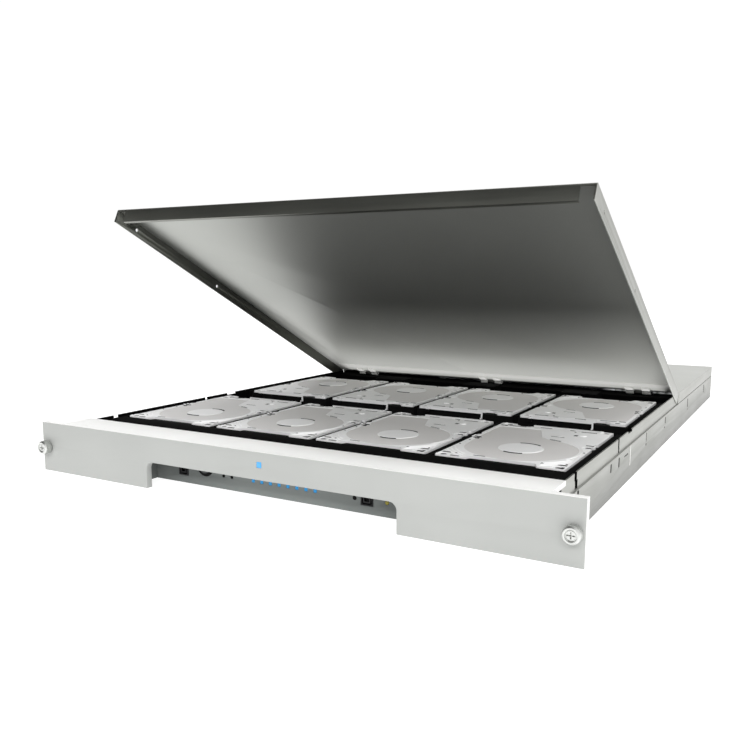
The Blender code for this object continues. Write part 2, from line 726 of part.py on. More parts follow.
chassis_tray()
front_bezel()
front_hood()
io_panel()
port("left_port", LEFT_PORT_X)
port("right_port", RIGHT_PORT_X)
front_board()
power_button()
for label, button_x in zip(("left", "right"), SMALL_BUTTON_X):
    small_button(f"small_button_{label}", button_x)
activity_lights()
fault_light()
status_light()
thumbscrew("thumbscrew_left", -SCREW_X)
thumbscrew("thumbscrew_right", SCREW_X)
lid()
for label, hinge_x in (("left", -HINGE_PITCH), ("centre", 0.0), ("right", HINGE_PITCH)):
    hinge_leaf(f"hinge_leaf_{label}", hinge_x)
    hinge_pin(f"hinge_pin_{label}", hinge_x)
rear_cover()
rear_panel()
mid_backplane()
bay_frame_front()
bay_frame_rear()
bays = [bay(x, front) for front in ROW_FRONTS for x in column_centres()]
for bay_number, bay_place in enumerate(bays, start=1):
    drive(bay_number, bay_place)
    drive_latch(bay_number, bay_place)
for fan, fan_x in enumerate(fan_positions(), start=1):
    fan_frame(fan, fan_x)
    fan_rotor(fan, fan_x)
fan_bulkhead()
controller_board()
cpu_heatsink()
rear_port_block()
for label in SUPPLY_X:
    power_supply(label)
    supply_latch(label)
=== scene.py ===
"""Looks of the rack storage enclosure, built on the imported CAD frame.

Part coordinates are millimetres: X to the right, Y back from the front plate's face, Z up.
"""

import json
import math

import bmesh
import bpy
from mathutils import Matrix, Vector

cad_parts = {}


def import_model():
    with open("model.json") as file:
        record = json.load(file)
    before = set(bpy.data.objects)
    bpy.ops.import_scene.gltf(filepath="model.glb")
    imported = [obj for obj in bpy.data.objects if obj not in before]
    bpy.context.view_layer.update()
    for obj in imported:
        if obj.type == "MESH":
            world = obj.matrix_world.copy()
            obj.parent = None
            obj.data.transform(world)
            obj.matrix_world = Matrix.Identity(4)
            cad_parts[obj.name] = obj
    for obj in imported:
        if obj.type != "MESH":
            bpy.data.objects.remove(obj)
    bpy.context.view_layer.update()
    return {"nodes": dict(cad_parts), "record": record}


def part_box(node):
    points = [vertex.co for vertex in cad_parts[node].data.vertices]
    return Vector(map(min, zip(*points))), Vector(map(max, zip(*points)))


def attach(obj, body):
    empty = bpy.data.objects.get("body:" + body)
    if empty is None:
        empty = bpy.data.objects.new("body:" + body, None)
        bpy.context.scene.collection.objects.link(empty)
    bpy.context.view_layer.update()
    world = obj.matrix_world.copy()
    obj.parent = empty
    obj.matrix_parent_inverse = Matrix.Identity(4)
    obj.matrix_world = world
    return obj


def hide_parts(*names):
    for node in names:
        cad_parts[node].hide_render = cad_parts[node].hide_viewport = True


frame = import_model()

MM = 0.001
FRONT_Y = -0.381  # the front plate's face, in metres in the frame
DRIVE_NODES = [f"drive_{n}" for n in range(1, 9)]


# ---------------------------------------------------------------- coordinates and mesh helpers


def at(x, y, z):
    return Vector((x * MM, FRONT_Y + y * MM, z * MM))


def node_box(node):
    """Lowest and highest corner of a CAD node in part coordinates."""
    low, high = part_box(node)
    return [
        Vector((c.x / MM, (c.y - FRONT_Y) / MM, c.z / MM))
        for c in (low, high)
    ]


def to_mesh(shape, name):
    mesh = bpy.data.meshes.new(name)
    shape.to_mesh(mesh)
    shape.free()
    return mesh


def box_shape(*boxes, place=at, shape=None):
    """Boxes given as ((x0, x1), (y0, y1), (z0, z1)) in one bmesh."""
    shape = shape or bmesh.new()
    for x, y, z in boxes:
        low = place(x[0], y[0], z[0])
        high = place(x[1], y[1], z[1])
        matrix = Matrix.Translation((low + high) / 2) @ Matrix.Diagonal((*(high - low), 1.0))
        bmesh.ops.create_cube(shape, size=1.0, matrix=matrix)
    return shape


TURNS = {
    "Y": Matrix.Rotation(math.pi / 2, 4, "X"),
    "Z": Matrix.Identity(4),
}


def disc_shape(centres, axis, radius, length, segments, tip=None, place=at, shape=None):
    """Cylinders, or cones where tip is the radius at the far end along the axis."""
    shape = shape or bmesh.new()
    for centre in centres:
        bmesh.ops.create_cone(
            shape,
            cap_ends=True,
            segments=segments,
            radius1=radius * MM,
            radius2=(radius if tip is None else tip) * MM,
            depth=length * MM,
            matrix=Matrix.Translation(place(*centre)) @ TURNS[axis],
        )
    return shape


def prism_shape(outline, low, high, place=at):
    """Flat outline of (x, y) corners, counter-clockwise, raised from z low to z high."""
    shape = bmesh.new()
    corners = [shape.verts.new(place(x, y, low)) for x, y in outline]
    bottom = shape.faces.new(corners)
    bottom.normal_flip()
    raised = bmesh.ops.extrude_face_region(shape, geom=[bottom])
    top = [v for v in raised["geom"] if isinstance(v, bmesh.types.BMVert)]
    bmesh.ops.translate(shape, verts=top, vec=(0, 0, (high - low) * MM))
    bmesh.ops.recalc_face_normals(shape, faces=shape.faces)
    return shape


def turned_shape(profile, centre, steps=40):
    """Profile of (radius, distance forward of the centre) turned about the line along Y."""
    shape = bmesh.new()
    rings = []
    spot = at(*centre)
    for radius, forward in profile:
        ring = []
        for i in range(steps):
            a = math.tau * i / steps
            c, s = radius * math.cos(a) * MM, radius * math.sin(a) * MM
            ring.append(shape.verts.new(spot + Vector((c, -forward * MM, s))))
        rings.append(ring)
    for lower, upper in zip(rings, rings[1:]):
        for i in range(steps):
            j = (i + 1) % steps
            shape.faces.new((lower[i], lower[j], upper[j], upper[i]))
    shape.faces.new(rings[0])
    shape.faces.new(rings[-1])
    bmesh.ops.recalc_face_normals(shape, faces=shape.faces)
    return shape


def carve(shape, *steps):
    """Applies exact Booleans: steps are ("cut" or "join", bmesh). Returns the new bmesh."""
    body = bpy.data.objects.new("work", to_mesh(shape, "work"))
    bpy.context.scene.collection.objects.link(body)
    for word, tool_shape in steps:
        tool = bpy.data.objects.new("tool", to_mesh(tool_shape, "tool"))
        bpy.context.scene.collection.objects.link(tool)
        modifier = body.modifiers.new("bool", "BOOLEAN")
        modifier.operation = "DIFFERENCE" if word == "cut" else "UNION"
        modifier.solver = "EXACT"
        modifier.object = tool
        graph = bpy.context.evaluated_depsgraph_get()
        made = bpy.data.meshes.new_from_object(body.evaluated_get(graph))
        body.modifiers.clear()
        body.data = made
        bpy.data.objects.remove(tool, do_unlink=True)
    result = bmesh.new()
    result.from_mesh(body.data)
    bpy.data.objects.remove(body, do_unlink=True)
    return result


MERGE_DISTANCE = 2e-6
FLAT_ANGLE = math.radians(0.6)
SHARP_ANGLE = math.radians(35)


def clean(shape):
    """Merges doubled vertices and joins faces that lie in one plane."""
    bmesh.ops.remove_doubles(shape, verts=shape.verts, dist=MERGE_DISTANCE)
    bmesh.ops.dissolve_limit(
        shape,
        angle_limit=FLAT_ANGLE,
        verts=shape.verts,
        edges=shape.edges,
        delimit=set(),
    )
    return shape


def finish_mesh(mesh, paints, rule=None):
    """Gives the mesh its materials; rule picks a material from a face's centre and normal."""
    mesh.materials.clear()
    for paint in paints:
        mesh.materials.append(paint)
    if rule:
        for face in mesh.polygons:
            c = face.center
            centre = Vector((c.x / MM, (c.y - FRONT_Y) / MM, c.z / MM))
            face.material_index = rule(centre, face.normal)
    mesh.shade_smooth()


def soften(obj, width, segments=2):
    """Rounds the piece's sharp edges by a fine bevel, or keeps them sharp where width is 0."""
    if width:
        bevel = obj.modifiers.new("rounded", "BEVEL")
        bevel.width = width * MM
        bevel.segments = segments
        bevel.limit_method = "ANGLE"
        bevel.angle_limit = SHARP_ANGLE
        bevel.harden_normals = True
        bevel.use_clamp_overlap = True
    else:
        obj.data.set_sharp_from_angle(angle=SHARP_ANGLE)


def add_piece(name, shape, body, paints, bevel=0.25, segments=2, rule=None, stands_for=()):
    """Makes a bmesh into a piece that rides on a body and may stand for CAD nodes."""
    mesh = to_mesh(shape, name)
    if not isinstance(paints, list):
        paints = [paints]
    finish_mesh(mesh, paints, rule)
    obj = bpy.data.objects.new(name, mesh)
    bpy.context.scene.collection.objects.link(obj)
    soften(obj, bevel, segments)
    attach(obj, body)
    if stands_for:
        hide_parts(*stands_for)
    return obj


def node_shape(node):
    shape = bmesh.new()
    shape.from_mesh(frame["nodes"][node].data)
    return clean(shape)


BODY_OF = {
    node: body for body, nodes in frame["record"]["behaviour"]["bodies"].items() for node in nodes
}


def dress(node, name, paints, bevel=0.25, segments=2, rule=None, steps=()):
    """Refined copy of a CAD node: same shape with rounded edges, plus any Boolean steps."""
    shape = node_shape(node)
    if steps:
        shape = clean(carve(shape, *steps))
    return add_piece(
        name, shape, BODY_OF[node], paints, bevel, segments, rule, (node,)
    )


# ---------------------------------------------------------------- materials


def nodes_of(name):
    """New material with its node tree and its shader node."""
    material = bpy.data.materials.new(name)
    material.use_nodes = True
    tree = material.node_tree
    return material, tree, tree.nodes["Principled BSDF"]


def texture_space(tree, stretch=(1, 1, 1)):
    """Object coordinates in metres, scaled along each axis."""
    spot = tree.nodes.new("ShaderNodeTexCoord")
    mapping = tree.nodes.new("ShaderNodeMapping")
    mapping.inputs["Scale"].default_value = stretch
    tree.links.new(spot.outputs["Object"], mapping.inputs["Vector"])
    return mapping.outputs["Vector"]


def noise(tree, vector, scale, detail=2.0, roughness=0.5):
    node = tree.nodes.new("ShaderNodeTexNoise")
    node.inputs["Scale"].default_value = scale
    node.inputs["Detail"].default_value = detail
    node.inputs["Roughness"].default_value = roughness
    tree.links.new(vector, node.inputs["Vector"])
    return node.outputs["Fac"]


def spread(tree, value, low, high, start=0.3, end=0.7):
    """Maps values from start to end on to the range from low to high."""
    node = tree.nodes.new("ShaderNodeMapRange")
    node.inputs["From Min"].default_value = start
    node.inputs["From Max"].default_value = end
    node.inputs["To Min"].default_value = low
    node.inputs["To Max"].default_value = high
    tree.links.new(value, node.inputs["Value"])
    return node.outputs["Result"]


def two_tone(tree, value, first, second, start=0.35, end=0.65):
    """Blends from the first colour to the second as the value goes from start to end."""
    ramp = tree.nodes.new("ShaderNodeValToRGB")
    ramp.color_ramp.elements[0].position = start
    ramp.color_ramp.elements[0].color = (*first, 1)
    ramp.color_ramp.elements[1].position = end
    ramp.color_ramp.elements[1].color = (*second, 1)
    tree.links.new(value, ramp.inputs["Fac"])
    return ramp.outputs["Color"]


def bumped(tree, shader, height, distance):
    """Bump whose full height is the distance, in mm."""
    bump = tree.nodes.new("ShaderNodeBump")
    bump.inputs["Strength"].default_value = 1.0
    bump.inputs["Distance"].default_value = distance * MM
    tree.links.new(height, bump.inputs["Height"])
    tree.links.new(bump.outputs["Normal"], shader.inputs["Normal"])


def shade(colour, factor):
    return tuple(min(1.0, c * factor) for c in colour)


def painted_shade_ramp(tree, colour, axis, start, end, low):
    """Painted shade: scales a colour from 1 at start to low at end, in metres from the axis's zero
    either way.
    """
    place = tree.nodes.new("ShaderNodeTexCoord")
    split = tree.nodes.new("ShaderNodeSeparateXYZ")
    tree.links.new(place.outputs["Object"], split.inputs["Vector"])
    size = tree.nodes.new("ShaderNodeMath")
    size.operation = "ABSOLUTE"
    tree.links.new(split.outputs[axis], size.inputs[0])
    tone = tree.nodes.new("ShaderNodeVectorMath")
    tone.operation = "SCALE"
    tree.links.new(colour, tone.inputs[0])
    tree.links.new(spread(tree, size.outputs[0], 1.0, low, start, end), tone.inputs["Scale"])
    return tone.outputs["Vector"]


def paint_material(name, colour, roughness=0.42, grain=0.6, depth=0.012, gloss=0.5, painted_shade=None):
    """Powder-coated or moulded surface: orange-peel bump, faint cloudiness, uneven gloss."""
    material, tree, shader = nodes_of(name)
    space = texture_space(tree)
    cloud = noise(tree, space, 14.0, 3.0)
    peel = noise(tree, space, 1000.0 / grain, 3.0, 0.6)
    base = two_tone(tree, cloud, shade(colour, 0.975), shade(colour, 1.02))
    # Optional painted shade: the colour darkens along one axis
    if painted_shade:
        base = painted_shade_ramp(tree, base, *painted_shade)
    tree.links.new(base, shader.inputs["Base Color"])
    tree.links.new(
        spread(tree, cloud, roughness - 0.03, roughness + 0.04), shader.inputs["Roughness"]
    )
    shader.inputs["Specular IOR Level"].default_value = gloss
    bumped(tree, shader, peel, depth)
    return material


def metal_material(
    name, colour, roughness, stretch=(4, 400, 400), scale=3.0, depth=0.004, spots=0.04, painted_shade=None
):
    """Sheet or turned metal: fine lines along one direction and slightly uneven gloss."""
    material, tree, shader = nodes_of(name)
    lines = noise(tree, texture_space(tree, stretch), scale, 4.0, 0.6)
    cloud = noise(tree, texture_space(tree), 22.0, 4.0)
    base = two_tone(tree, lines, shade(colour, 1 - spots), shade(colour, 1 + spots))
    # Optional painted shade: the colour darkens along one axis
    if painted_shade:
        base = painted_shade_ramp(tree, base, *painted_shade)
    tree.links.new(base, shader.inputs["Base Color"])
    mix = tree.nodes.new("ShaderNodeMath")
    mix.operation = "MULTIPLY_ADD"
    tree.links.new(lines, mix.inputs[0])
    mix.inputs[1].default_value = 0.5
    tree.links.new(spread(tree, cloud, 0.0, 0.5, 0.0, 1.0), mix.inputs[2])
    tree.links.new(
        spread(tree, mix.outputs[0], roughness * 0.85, roughness * 1.15), shader.inputs["Roughness"]
    )
    shader.inputs["Metallic"].default_value = 1.0
    if depth:
        bumped(tree, shader, lines, depth)
    return material


def lid_material(name, colour, painted_light):
    """Bare inner sheet of the lid: satin rolled metal whose colour is paler and less metallic
    towards the hinge, painted light.
    """
    material, tree, shader = nodes_of(name)
    place = tree.nodes.new("ShaderNodeTexCoord")
    split = tree.nodes.new("ShaderNodeSeparateXYZ")
    tree.links.new(place.outputs["Object"], split.inputs["Vector"])
    cloud = noise(tree, texture_space(tree), 9.0, 3.0)
    lines = noise(tree, texture_space(tree, (900, 6, 6)), 1.0, 3.0)
    height = tree.nodes.new("ShaderNodeMath")
    height.operation = "MULTIPLY_ADD"
    tree.links.new(cloud, height.inputs[0])
    height.inputs[1].default_value = 0.004
    tree.links.new(split.outputs["Z"], height.inputs[2])
    tone = tree.nodes.new("ShaderNodeMath")
    tone.operation = "MULTIPLY_ADD"
    tree.links.new(lines, tone.inputs[0])
    tone.inputs[1].default_value = 0.03
    tree.links.new(spread(tree, height.outputs[0], 0.0, 1.0, 0.06, 0.15), tone.inputs[2])
    tree.links.new(
        two_tone(tree, tone.outputs[0], painted_light, colour, 0.0, 1.0), shader.inputs["Base Color"]
    )
    tree.links.new(
        spread(tree, height.outputs[0], 0.22, 0.84, 0.085, 0.145), shader.inputs["Metallic"]
    )
    tree.links.new(spread(tree, cloud, 0.37, 0.41), shader.inputs["Roughness"])
    shader.inputs["Specular IOR Level"].default_value = 0.2
    return material


def light_material(name, body, colour, glow):
    """Lit plastic lens with a soft unevenness."""
    material, tree, shader = nodes_of(name)
    cloud = noise(tree, texture_space(tree), 900.0, 2.0)
    tree.links.new(
        two_tone(tree, cloud, shade(body, 0.92), shade(body, 1.05)), shader.inputs["Base Color"]
    )
    tree.links.new(
        two_tone(tree, cloud, shade(colour, 0.96), shade(colour, 1.04)),
        shader.inputs["Emission Color"],
    )
    shader.inputs["Emission Strength"].default_value = glow
    shader.inputs["Roughness"].default_value = 0.25
    return material


# The plate's front is a darker copy of the hood's white paint: painted shade
PLATE_SHADED_PAINT = paint_material("plate_paint_shaded", (0.43, 0.44, 0.425), 0.45, gloss=0.3)
HOOD_PAINT = paint_material("hood_paint", (0.86, 0.86, 0.845), 0.42)
ROLLED = (0.42, (3, 3, 60), 4.0, 0.0, 0.02)  # roughness, stretch, scale, depth, spots
SHEET_METAL = metal_material("zinc_sheet", (0.58, 0.59, 0.555), *ROLLED)
# Darker copy of the zinc sheet, painted shade, for the chassis's outside and the covers' sideways
# faces; it darkens further towards the bottom, also painted shade
SHADED_SHEET_METAL = metal_material(
    "zinc_sheet_shaded", (0.40, 0.405, 0.38), *ROLLED, painted_shade=("Z", 0.034, 0.0, 0.48)
)
INSIDE_BLACK = paint_material("inside_black", (0.004, 0.004, 0.004), 0.9, gloss=0.03)
FRAME_BLACK = paint_material("frame_black", (0.004, 0.004, 0.004), 0.9, 0.4, gloss=0.03)
PLASTIC_BLACK = paint_material("plastic_black", (0.010, 0.010, 0.011), 0.4, 0.3, 0.006, gloss=0.3)
# The panel's grey darkens towards both ends: painted shade in the recess
PANEL_GREY = paint_material(
    "panel_grey", (0.23, 0.248, 0.24), 0.42, gloss=0.15, painted_shade=("X", 0.04, 0.125, 0.55)
)
# Inside of the lid: paler towards the hinge, painted light
LID_INNER = lid_material("lid_inner", (0.43, 0.44, 0.415), (0.78, 0.79, 0.75))
# Darker copy of the sheet for the lid's flanges: painted shade
FLANGE_SHADED_METAL = metal_material("flange_sheet_shaded", (0.235, 0.24, 0.215), *ROLLED)
# Pale paint for light lines on the seams, round the lid's knuckles and on a strip near its hinge:
# painted highlight
PALE_HIGHLIGHT_PAINT = paint_material("pale_painted_highlight", (0.80, 0.80, 0.77), 0.4)
STEEL = metal_material("plated_steel", (0.70, 0.71, 0.69), 0.36)
HINGE_STEEL = metal_material("hinge_steel", (0.10, 0.10, 0.095), 0.5, depth=0.0)
DARK_STEEL = metal_material("dark_steel", (0.09, 0.09, 0.09), 0.4)
SUPPLY_STEEL = metal_material("supply_sheet", (0.55, 0.56, 0.57), 0.38)
COVER_SILVER = paint_material("drive_cover", (0.88, 0.88, 0.88), 0.38, 0.4, 0.003)
COVER_GREY = paint_material("drive_cover_field", (0.69, 0.675, 0.665), 0.45, 0.3, 0.003)
# Near-black paint for arcs, lines and dots on the covers: painted shade
COVER_SHADE_PAINT = paint_material("drive_mark", (0.02, 0.02, 0.02), 0.5, 0.3, 0.002, gloss=0.2)
COVER_BRIGHT = paint_material("drive_highlight", (0.95, 0.95, 0.95), 0.3, 0.3, 0.002)
CAP_GREY = paint_material("cap_grey", (0.07, 0.075, 0.075), 0.4, 0.3, 0.006, gloss=0.2)
BUTTON_BLACK = paint_material("button_black", (0.006, 0.006, 0.006), 0.6, 0.3, 0.006, gloss=0.08)
CASTING = paint_material("drive_casting", (0.006, 0.006, 0.006), 0.7, 0.5, 0.02, gloss=0.1)
BOARD_GREEN = paint_material("board_green", (0.015, 0.09, 0.045), 0.35, 0.8, 0.02)
HEATSINK = metal_material("heatsink", (0.60, 0.61, 0.62), 0.35, (400, 4, 400))
TAB_GREEN = paint_material("release_tab", (0.03, 0.20, 0.09), 0.4, 0.5, 0.01)
STATUS_BLUE = light_material("status_blue", (0.02, 0.06, 0.10), (0.107, 0.479, 1.0), 0.95)
ROW_BLUE = light_material("row_blue", (0.0, 0.03, 0.05), (0.012, 0.26, 0.60), 0.85)
AMBER_LIGHT = light_material("amber_light", (0.24, 0.20, 0.01), (0.6, 0.5, 0.0), 0.05)


# ---------------------------------------------------------------- chassis and covers

WALL_X = 219.0  # outer face of a side wall
CUT_REACH = 4.0  # how far a cut runs to either side of it
SLOT_GROWTH = 0.3
GAP_SHIFTS = (0.0, 0.5, -0.3, 0.6, -0.2, 0.3)
# Jagged gaps in both side walls: (y, width, low z, high z)
GAPS = ((62.4, 3.0, 30.8, 44.0), (189.2, 3.4, 31.0, 44.0), (64.0, 4.0, 26.5, 29.8))


def inside_shell(centre, normal):
    """1 on the chassis's inner faces and in its slots and gaps, 0 outside; the near-black in the
    slots and gaps is painted shade.
    """
    if abs(normal.y) > 0.4 and 20 < centre.y < 755 and centre.z > 10 and abs(centre.x) > 214:
        return 1
    within = abs(centre.x) < 216.4 and centre.z > 1.1 and centre.z < 42.0
    facing = normal.z > 0.5 or normal.x * centre.x < 0
    return 1 if within and facing and centre.y > 8 else 0


def rim_rule(centre, normal):
    """1 on the plate's top and outer ends, 0 on the rest; the top and ends get the paler paint,
    painted light, and the front the darker one, painted shade.
    """
    return 1 if abs(normal.y) < 0.5 and (centre.z > 42.5 or abs(centre.x) > 240.5) else 0


def flank_rule(centre, normal):
    """1 on the faces that look sideways, 0 on the rest; the sideways faces get the darker copy of
    the sheet, painted shade.
    """
    return 1 if abs(normal.x) > 0.5 else 0


def slot_boxes():
    """Small openings along both side walls: slits, slots and paired holes, in millimetres."""
    spots = [(204.5, 218.5, 24.2, 25.2), (295.2, 297.2, 26.6, 29.2), (295.4, 297.0, 20.5, 26.0)]
    spots += [(294.8, 297.6, 16.8, 19.4), (390.6, 393.0, 17.0, 19.0), (543.2, 545.4, 13.4, 15.6)]
    tall = ((158.3, 21.6, 27.8), (185.7, 20.0, 27.4), (394.0, 22.0, 28.0))
    tall += ((544.0, 17.0, 27.0), (682.0, 17.0, 27.0))
    for y, low, high in tall:
        spots.append((y - 1.6, y + 1.6, low - SLOT_GROWTH, high + SLOT_GROWTH))
    return [
        ((x - CUT_REACH, x + CUT_REACH), (y0, y1), (z0, z1))
        for y0, y1, z0, z1 in spots
        for x in (-WALL_X, WALL_X)
    ]


def gap_outline(y, width, low, high):
    """Jagged vertical gap as (y, z) corners."""
    left, right = [], []
    steps = len(GAP_SHIFTS) - 1
    for i, shift in enumerate(GAP_SHIFTS):
        z = low + (high - low) * i / steps
        left.append((y - width / 2 + shift, z))
        right.append((y + width / 2 + shift * 0.4, z))
    return right + left[::-1]


def side_prism(outline, x0, x1):
    """Outline of (y, z) corners pushed through from one x to another."""
    shape = bmesh.new()
    near = [shape.verts.new(at(x0, y, z)) for y, z in outline]
    far = [shape.verts.new(at(x1, y, z)) for y, z in outline]
    shape.faces.new(near)
    shape.faces.new(far)
    for i in range(len(outline)):
        j = (i + 1) % len(outline)
        shape.faces.new((near[i], near[j], far[j], far[i]))
    bmesh.ops.recalc_face_normals(shape, faces=shape.faces)
    return shape


SIDE_CUTS = [("cut", box_shape(box)) for box in slot_boxes()]
for gap in GAPS:
    for wall in (-WALL_X, WALL_X):
        cutter = side_prism(gap_outline(*gap), wall - CUT_REACH, wall + CUT_REACH)
        SIDE_CUTS.append(("cut", cutter))
dress("chassis_tray", "chassis_shell", [SHADED_SHEET_METAL, INSIDE_BLACK], 0.3, 2, inside_shell, SIDE_CUTS)
dress("front_bezel", "front_plate", [PLATE_SHADED_PAINT, HOOD_PAINT], 0.5, 3, rim_rule)
dress("front_hood", "hood", HOOD_PAINT, 0.35, 3)
dress("rear_cover", "rear_lid", [SHEET_METAL, SHADED_SHEET_METAL], 0.35, 3, flank_rule)
dress("rear_panel", "rear_wall", SHEET_METAL, 0.2)
# Thin raised seams on the side walls, pale as a painted highlight
for name, x in (("left", -WALL_X), ("right", WALL_X)):
    seam = box_shape(((x - 0.22, x + 0.22), (226.8, 228.6), (12.7, 30.0)))
    add_piece(f"seam_{name}", seam, BODY_OF["chassis_tray"], PALE_HIGHLIGHT_PAINT, 0.1)

HINGE = at(0, 471.6, 41.1)
LID_ANGLE = math.radians(25.67)
UNTURN = Matrix.Rotation(LID_ANGLE, 4, "X")

# The lid in its own millimetres: from the hinge line, as if closed, forward is negative y
KNUCKLE_Y = -14.5
INNER_FACE_Z = 1.45
FLANK_X = 218.3
FLANGE_Y = -432.0
RIM_Y = -436.6
RIM_LOW_Z = 2.4
RIM_RADIUS = 1.7
LIP_TOP_Z = -9.0
LIP_HALF = 208.5
LIP_TILT = Vector((0.0, 0.9, 0.0))
# Place and size of the pale strip inside the lid near the hinge, a painted highlight
HIGHLIGHT_STRIP_SPOT = Vector((0, -22.0, 1.25))
HIGHLIGHT_STRIP_SIZE = (0.432, 0.011, 0.0006)  # metres


def lid_spot(point):
    """A point in the lid's own millimetres."""
    return (UNTURN @ (point - HINGE)) / MM


def lid_rule(centre, normal):
    """0 on top, 1 inside, 2 round the knuckles in pale paint, painted highlight, 3 on the outer
    flanks and 4 on the dark flanges, darker copies of the sheet, painted shade.
    """
    flat = UNTURN.to_3x3() @ normal
    spot = lid_spot(at(*centre))
    if spot.y > KNUCKLE_Y and spot.z < INNER_FACE_Z:
        return 2
    if abs(spot.x) > FLANK_X:
        return 3
    if flat.z > 0.5:
        return 0
    return 4 if spot.y < FLANGE_Y or abs(flat.x) > 0.5 else 1


def build_lid():
    """Lid with a rounded front rim and a slightly tilted lip, and a pale strip near the hinge, a
    painted highlight.
    """
    shape = node_shape("lid")
    rim = []
    for edge in shape.edges:
        ends = [lid_spot(v.co) for v in edge.verts]
        if all(abs(e.y - RIM_Y) < 0.1 and e.z > RIM_LOW_Z for e in ends):
            rim.append(edge)
    bmesh.ops.bevel(
        shape, geom=rim, offset=RIM_RADIUS * MM, segments=4, profile=0.5, affect="EDGES"
    )
    for vertex in shape.verts:
        spot = lid_spot(vertex.co)
        if spot.y < FLANGE_Y and spot.z < LIP_TOP_Z and abs(spot.x) < LIP_HALF:
            vertex.co += (UNTURN.inverted().to_3x3() @ LIP_TILT) * MM
    # Knuckle faces pale, a painted highlight; outer flanks and flanges darker copies of the sheet,
    # painted shade
    paints = [SHEET_METAL, LID_INNER, PALE_HIGHLIGHT_PAINT, SHADED_SHEET_METAL, FLANGE_SHADED_METAL]
    add_piece("lid_shell", shape, "lid", paints, 0.3, 2, lid_rule, ("lid",))

    turn = Matrix.Translation(HINGE) @ UNTURN.inverted()
    highlight_strip = bmesh.new()
    matrix = turn @ Matrix.Translation(HIGHLIGHT_STRIP_SPOT * MM) @ Matrix.Diagonal((*HIGHLIGHT_STRIP_SIZE, 1))
    bmesh.ops.create_cube(highlight_strip, size=1.0, matrix=matrix)
    add_piece("pale_painted_highlight", highlight_strip, "lid", PALE_HIGHLIGHT_PAINT, 0.15)


build_lid()

for side in ("left", "centre", "right"):
    dress(f"hinge_leaf_{side}", f"hinge_{side}", HINGE_STEEL, 0.2)
    dress(f"hinge_pin_{side}", f"pin_{side}", HINGE_STEEL, 0.2)

dress("bay_frame_front", "frame_front", FRAME_BLACK, 0.3)
dress("bay_frame_rear", "frame_rear", FRAME_BLACK, 0.3)
dress("mid_backplane", "backplane", PLASTIC_BLACK, 0.2)
dress("fan_bulkhead", "bulkhead", FRAME_BLACK, 0.2)
for n in range(1, 4):
    dress(f"fan_frame_{n}", f"fan_{n}_frame", FRAME_BLACK, 0.4)
    dress(f"fan_rotor_{n}", f"fan_{n}_rotor", PLASTIC_BLACK, 0.15)
dress("controller_board", "main_board", BOARD_GREEN, 0.1)
dress("cpu_heatsink", "heatsink", HEATSINK, 0.15)
dress("rear_port_block", "rear_ports", SUPPLY_STEEL, 0.3)
for side in ("left", "right"):
    dress(f"power_supply_{side}", f"supply_{side}", SUPPLY_STEEL, 0.5)
    dress(f"supply_latch_{side}", f"supply_tab_{side}", TAB_GREEN, 0.4)

# ---------------------------------------------------------------- recessed control panel

dress("io_panel", "control_panel", PANEL_GREY, 0.2)
dress("front_board", "panel_board", BOARD_GREEN, 0.1)
dress("activity_lights", "activity_row", ROW_BLUE, 0.2)
dress("fault_light", "fault_lamp", AMBER_LIGHT, 0.3)
dress("status_light", "status_lamp", STATUS_BLUE, 0.25)
for side in ("left", "right"):
    dress(f"{side}_port", f"{side}_socket", PLASTIC_BLACK, 0.25)
    dress(f"small_button_{side}", f"{side}_push", BUTTON_BLACK, 0.2)
dress("power_button", "power_push", BUTTON_BLACK, 0.3)


PANEL_DOT = (65.3, 29.0, 11.1)
PANEL_DOT_RADIUS = 1.7
# The power button's cap: (share of the button's radius, mm forward of its face)
CAP_PROFILE = ((0.62, -0.15), (0.6, 0.12), (0.5, 0.2))
LIP_SHARES = (0.30, 0.20)  # a socket lip's outer and inner half, as shares of the socket's width


def panel_details():
    """Cap of the power button, lips of the two sockets and a dark dot beside the right one."""
    low, high = node_box("power_button")
    x, z = (low.x + high.x) / 2, (low.z + high.z) / 2
    radius = (high.x - low.x) / 2
    cap = turned_shape([(radius * share, y) for share, y in CAP_PROFILE], (x, low.y, z))
    add_piece("power_cap", cap, "power_button", CAP_GREY, 0.0)
    for side in ("left", "right"):
        node = f"{side}_port"
        low, high = node_box(node)
        x, z = (low.x + high.x) / 2, (low.z + high.z) / 2
        outer, inner = ((high.x - low.x) * share for share in LIP_SHARES)
        y = low.y + 0.05
        lip = carve(
            box_shape(((x - outer, x + outer), (y - 0.12, y + 0.4), (z - outer, z + outer))),
            ("cut", box_shape(((x - inner, x + inner), (y - 1, y + 1), (z - inner, z + inner)))),
        )
        add_piece(f"{side}_lip", lip, BODY_OF[node], PLASTIC_BLACK, 0.05)
    dot = disc_shape([PANEL_DOT], "Y", PANEL_DOT_RADIUS, 0.3, 20)
    add_piece("panel_dot", dot, BODY_OF["io_panel"], BUTTON_BLACK, 0.0)


panel_details()


# ---------------------------------------------------------------- thumbscrews


KNOB_RADIUS = 5.8
KNURLS = 40
# (radius, mm forward of the plate's face), from the knob's face round its rim to the tip
SCREW_PROFILE = ((2.9, 7.25), (3.05, 7.0), (3.5, 6.9), (3.75, 7.1), (3.9, 7.8), (4.6, 8.0))
SCREW_PROFILE += ((4.95, 7.9), (5.75, 6.8), (KNOB_RADIUS, 1.9), (5.5, 1.3), (4.3, 1.1))
SCREW_PROFILE += ((4.3, 0.3), (2.4, 0.25), (2.4, -14.2), (1.6, -15.0))
CROSS_ARMS = ((2.6, 0.45), (0.45, 2.2))  # half width and half height of the recess's two arms


